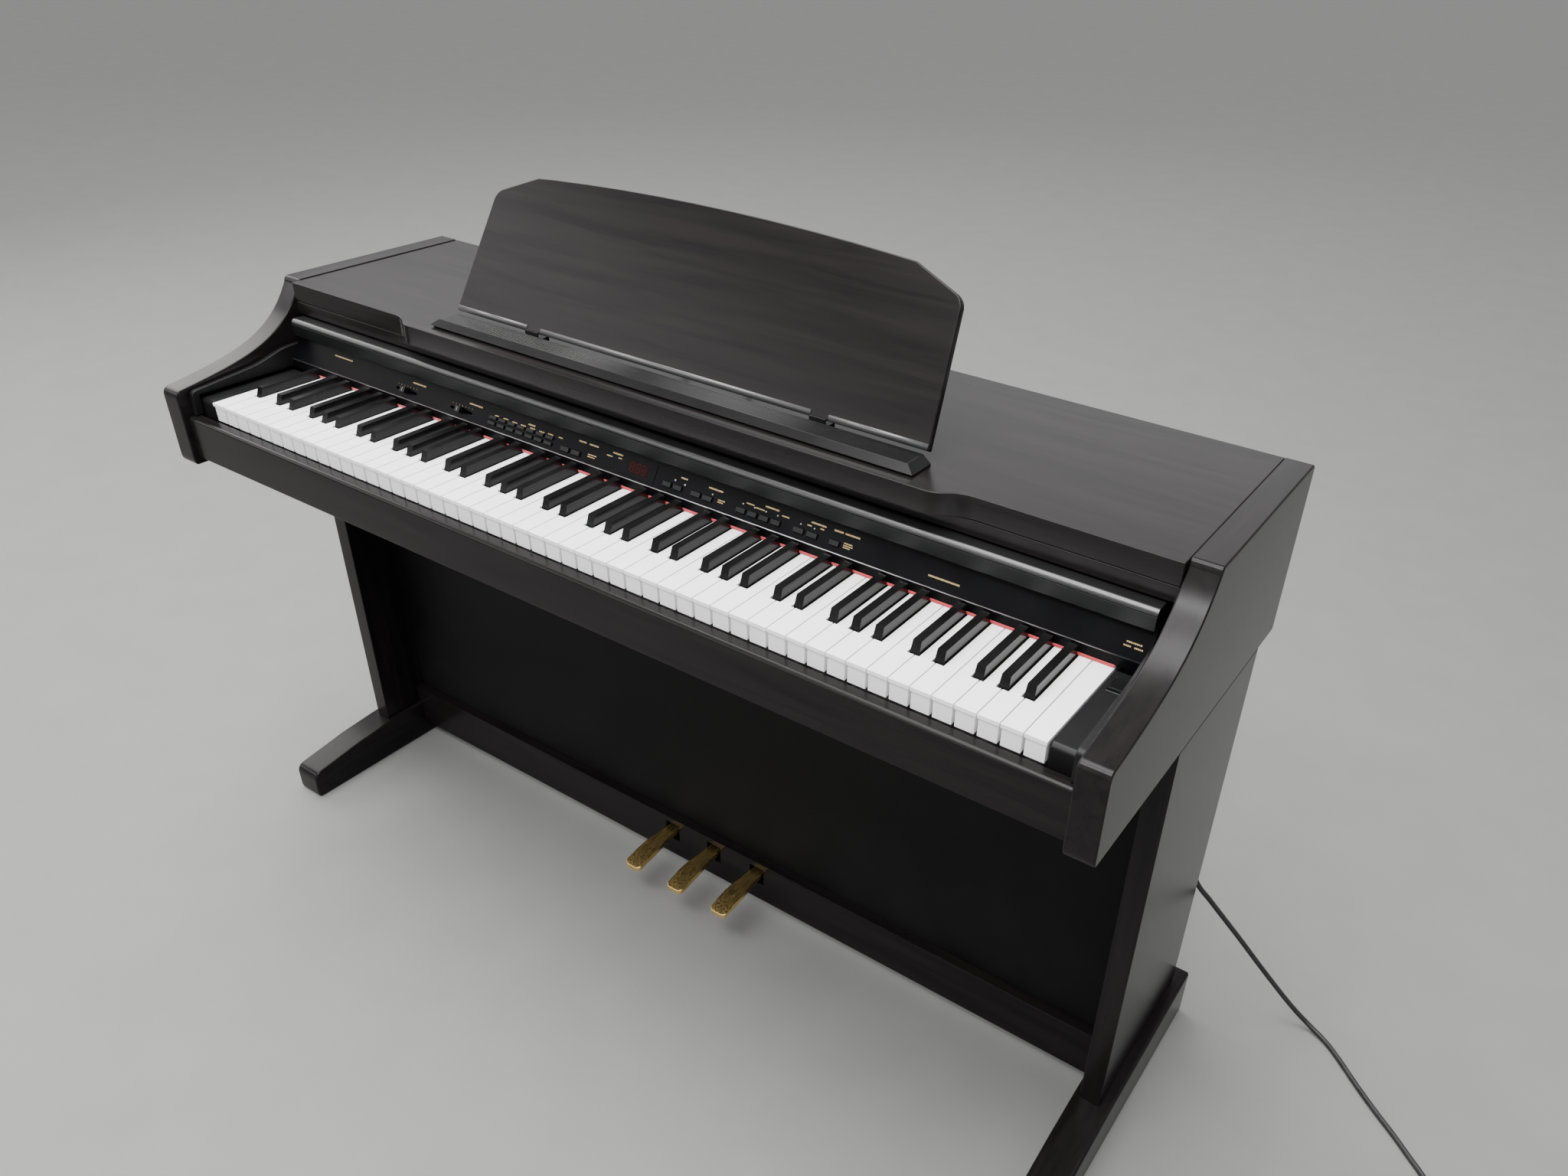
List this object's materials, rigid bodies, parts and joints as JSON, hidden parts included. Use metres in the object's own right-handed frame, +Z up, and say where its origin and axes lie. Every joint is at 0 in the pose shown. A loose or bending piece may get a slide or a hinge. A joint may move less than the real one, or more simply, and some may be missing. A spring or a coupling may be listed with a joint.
{
  "type": "digital piano",
  "caption": "Console digital piano on a panelled stand: full keyboard between swept cheeks, sliding key cover, sloped control panel, folding music rest, brass pedals and a mains cord.",
  "frame": {"origin": "on the floor, under the middle of the piano without its cord", "axes": "+X to the treble end (player's right), +Y to the back, +Z up"},
  "size_m": [1.852, 0.5366, 1.0032],
  "materials": {
    "wood_laminate": "dark brown-black wood-grain laminate, satin",
    "dark_board": "black board, dull",
    "gloss_black": "polished black",
    "black_plastic": "fine-textured black",
    "white_keys": "smooth off-white key tops",
    "black_keys": "satin black key tops",
    "red_felt": "red felt strip",
    "pedal_brass": "polished brass",
    "steel": "bright steel",
    "speaker_cone": "treated cone and painted basket",
    "circuit_board": "green board with dark parts",
    "cord_rubber": "black cord jacket"
  },
  "bodies": {
    "cabinet": {"left_cheek": "wood_laminate", "right_cheek": "wood_laminate", "top_panel": "wood_laminate", "front_fascia": "wood_laminate", "key_slip": "wood_laminate", "left_leg": "wood_laminate", "right_leg": "wood_laminate", "left_foot": "wood_laminate", "right_foot": "wood_laminate", "pedal_rail": "wood_laminate", "keybed": "dark_board", "rear_panel": "dark_board", "stand_back_panel": "dark_board", "control_panel": "gloss_black", "key_block_left": "black_plastic", "key_block_right": "black_plastic", "cover_track_left": "black_plastic", "cover_track_right": "black_plastic", "music_rest_ledge": "black_plastic", "music_rest_hinge_left": "black_plastic", "music_rest_hinge_right": "black_plastic", "key_felt": "red_felt", "key_frame": "steel", "speaker_left": "speaker_cone", "speaker_right": "speaker_cone", "main_circuit_board": "circuit_board", "mains_cord": "cord_rubber", "cord_coil": "cord_rubber", "mains_plug": "cord_rubber", "cord_gland": "cord_rubber"},
    "cover_carriage": {"cover_carriage": "dark_board"},
    "key_cover": {"key_cover": "wood_laminate", "key_cover_handle": "gloss_black"},
    "music_rest": {"music_rest_board": "wood_laminate"},
    "music_rest_stay": {"music_rest_stay": "steel"},
    "volume_slider": {"volume_slider": "black_plastic"},
    "brilliance_slider": {"brilliance_slider": "black_plastic"},
    "sound_buttons": {"sound_buttons": "black_plastic"},
    "sequencer_buttons": {"sequencer_buttons": "black_plastic"},
    "effect_buttons": {"effect_buttons": "black_plastic"},
    "power_button": {"power_button": "black_plastic"},
    "pedal_soft": {"pedal_soft": "pedal_brass"},
    "pedal_sostenuto": {"pedal_sostenuto": "pedal_brass"},
    "pedal_damper": {"pedal_damper": "pedal_brass"},
    "white_keys_bass": {"white_keys_bass": "white_keys"},
    "black_keys_bass": {"black_keys_bass": "black_keys"},
    "white_keys_treble": {"white_keys_treble": "white_keys"},
    "black_keys_treble": {"black_keys_treble": "black_keys"},
    "key_c4": {"key_c4": "white_keys"},
    "key_c_sharp4": {"key_c_sharp4": "black_keys"},
    "key_d4": {"key_d4": "white_keys"},
    "key_d_sharp4": {"key_d_sharp4": "black_keys"},
    "key_e4": {"key_e4": "white_keys"},
    "key_f4": {"key_f4": "white_keys"},
    "key_f_sharp4": {"key_f_sharp4": "black_keys"},
    "key_g4": {"key_g4": "white_keys"},
    "key_g_sharp4": {"key_g_sharp4": "black_keys"},
    "key_a4": {"key_a4": "white_keys"},
    "key_a_sharp4": {"key_a_sharp4": "black_keys"},
    "key_b4": {"key_b4": "white_keys"}
  },
  "joints": [
    {"name": "white_keys_bass_press", "type": "hinge", "parent": "cabinet", "child": "white_keys_bass", "pos_m": [0, 0.014, 0.69], "axis": [1, 0, 0], "range_deg": [0, 2.5], "stiffness_Nm_per_rad": 150, "springref_deg": -3.44},
    {"name": "black_keys_bass_press", "type": "hinge", "parent": "cabinet", "child": "black_keys_bass", "pos_m": [0, 0.014, 0.69], "axis": [1, 0, 0], "range_deg": [0, 2.5], "stiffness_Nm_per_rad": 60, "springref_deg": -2.86},
    {"name": "key_c4_press", "type": "hinge", "parent": "cabinet", "child": "key_c4", "pos_m": [0, 0.014, 0.69], "axis": [1, 0, 0], "range_deg": [0, 2.5], "stiffness_Nm_per_rad": 8, "springref_deg": -2.86},
    {"name": "key_c_sharp4_press", "type": "hinge", "parent": "cabinet", "child": "key_c_sharp4", "pos_m": [0, 0.014, 0.69], "axis": [1, 0, 0], "range_deg": [0, 2.5], "stiffness_Nm_per_rad": 6, "springref_deg": -1.72},
    {"name": "key_d4_press", "type": "hinge", "parent": "cabinet", "child": "key_d4", "pos_m": [0, 0.014, 0.69], "axis": [1, 0, 0], "range_deg": [0, 2.5], "stiffness_Nm_per_rad": 8, "springref_deg": -2.86},
    {"name": "key_d_sharp4_press", "type": "hinge", "parent": "cabinet", "child": "key_d_sharp4", "pos_m": [0, 0.014, 0.69], "axis": [1, 0, 0], "range_deg": [0, 2.5], "stiffness_Nm_per_rad": 6, "springref_deg": -1.72},
    {"name": "key_e4_press", "type": "hinge", "parent": "cabinet", "child": "key_e4", "pos_m": [0, 0.014, 0.69], "axis": [1, 0, 0], "range_deg": [0, 2.5], "stiffness_Nm_per_rad": 8, "springref_deg": -2.86},
    {"name": "key_f4_press", "type": "hinge", "parent": "cabinet", "child": "key_f4", "pos_m": [0, 0.014, 0.69], "axis": [1, 0, 0], "range_deg": [0, 2.5], "stiffness_Nm_per_rad": 8, "springref_deg": -2.86},
    {"name": "key_f_sharp4_press", "type": "hinge", "parent": "cabinet", "child": "key_f_sharp4", "pos_m": [0, 0.014, 0.69], "axis": [1, 0, 0], "range_deg": [0, 2.5], "stiffness_Nm_per_rad": 6, "springref_deg": -1.72},
    {"name": "key_g4_press", "type": "hinge", "parent": "cabinet", "child": "key_g4", "pos_m": [0, 0.014, 0.69], "axis": [1, 0, 0], "range_deg": [0, 2.5], "stiffness_Nm_per_rad": 8, "springref_deg": -2.86},
    {"name": "key_g_sharp4_press", "type": "hinge", "parent": "cabinet", "child": "key_g_sharp4", "pos_m": [0, 0.014, 0.69], "axis": [1, 0, 0], "range_deg": [0, 2.5], "stiffness_Nm_per_rad": 6, "springref_deg": -1.72},
    {"name": "key_a4_press", "type": "hinge", "parent": "cabinet", "child": "key_a4", "pos_m": [0, 0.014, 0.69], "axis": [1, 0, 0], "range_deg": [0, 2.5], "stiffness_Nm_per_rad": 8, "springref_deg": -2.86},
    {"name": "key_a_sharp4_press", "type": "hinge", "parent": "cabinet", "child": "key_a_sharp4", "pos_m": [0, 0.014, 0.69], "axis": [1, 0, 0], "range_deg": [0, 2.5], "stiffness_Nm_per_rad": 6, "springref_deg": -1.72},
    {"name": "key_b4_press", "type": "hinge", "parent": "cabinet", "child": "key_b4", "pos_m": [0, 0.014, 0.69], "axis": [1, 0, 0], "range_deg": [0, 2.5], "stiffness_Nm_per_rad": 8, "springref_deg": -2.86},
    {"name": "white_keys_treble_press", "type": "hinge", "parent": "cabinet", "child": "white_keys_treble", "pos_m": [0, 0.014, 0.69], "axis": [1, 0, 0], "range_deg": [0, 2.5], "stiffness_Nm_per_rad": 150, "springref_deg": -3.44},
    {"name": "black_keys_treble_press", "type": "hinge", "parent": "cabinet", "child": "black_keys_treble", "pos_m": [0, 0.014, 0.69], "axis": [1, 0, 0], "range_deg": [0, 2.5], "stiffness_Nm_per_rad": 60, "springref_deg": -2.86},
    {"name": "cover_slide", "type": "slide", "parent": "cabinet", "child": "cover_carriage", "axis": [0, -1, 0], "range_m": [0, 0.176]},
    {"name": "cover_tilt", "type": "hinge", "parent": "cover_carriage", "child": "key_cover", "pos_m": [0, 0.148, 0.7735], "axis": [1, 0, 0], "range_deg": [0, 13.1]},
    {"name": "music_rest_fold", "type": "hinge", "parent": "cabinet", "child": "music_rest", "pos_m": [0, -0.003, 0.834], "axis": [-1, 0, 0], "range_deg": [0, 60]},
    {"name": "stay_swing", "type": "hinge", "parent": "music_rest", "child": "music_rest_stay", "pos_m": [0, 0.04719, 0.90908], "axis": [1, 0, 0], "range_deg": [0, 116]},
    {"name": "volume_slider_slide", "type": "slide", "parent": "cabinet", "child": "volume_slider", "axis": [1, 0, 0], "range_m": [-0.017, 0.017]},
    {"name": "brilliance_slider_slide", "type": "slide", "parent": "cabinet", "child": "brilliance_slider", "axis": [1, 0, 0], "range_m": [-0.017, 0.017]},
    {"name": "sound_buttons_press", "type": "slide", "parent": "cabinet", "child": "sound_buttons", "axis": [0, 0.8434, -0.5373], "range_m": [0, 0.001], "stiffness_N_per_m": 900, "springref_m": -0.0015},
    {"name": "sequencer_buttons_press", "type": "slide", "parent": "cabinet", "child": "sequencer_buttons", "axis": [0, 0.8434, -0.5373], "range_m": [0, 0.001], "stiffness_N_per_m": 900, "springref_m": -0.0015},
    {"name": "effect_buttons_press", "type": "slide", "parent": "cabinet", "child": "effect_buttons", "axis": [0, 0.8434, -0.5373], "range_m": [0, 0.001], "stiffness_N_per_m": 900, "springref_m": -0.0015},
    {"name": "power_button_press", "type": "slide", "parent": "cabinet", "child": "power_button", "axis": [0, 0, -1], "range_m": [0, 0.0015], "stiffness_N_per_m": 900, "springref_m": -0.0015},
    {"name": "pedal_soft_press", "type": "hinge", "parent": "cabinet", "child": "pedal_soft", "pos_m": [0, 0.0295, 0.076], "axis": [1, 0, 0], "range_deg": [0, 8], "stiffness_Nm_per_rad": 20, "springref_deg": -5.73},
    {"name": "pedal_sostenuto_press", "type": "hinge", "parent": "cabinet", "child": "pedal_sostenuto", "pos_m": [0, 0.0295, 0.076], "axis": [1, 0, 0], "range_deg": [0, 8], "stiffness_Nm_per_rad": 20, "springref_deg": -5.73},
    {"name": "pedal_damper_press", "type": "hinge", "parent": "cabinet", "child": "pedal_damper", "pos_m": [0, 0.0295, 0.076], "axis": [1, 0, 0], "range_deg": [0, 8], "stiffness_Nm_per_rad": 20, "springref_deg": -5.73}
  ],
  "couplings": [
    {"joint": "cover_tilt", "follows": "cover_slide", "rad_per_m": 1.299},
    {"joint": "stay_swing", "follows": "music_rest_fold", "ratio": 1.9165}
  ]
}
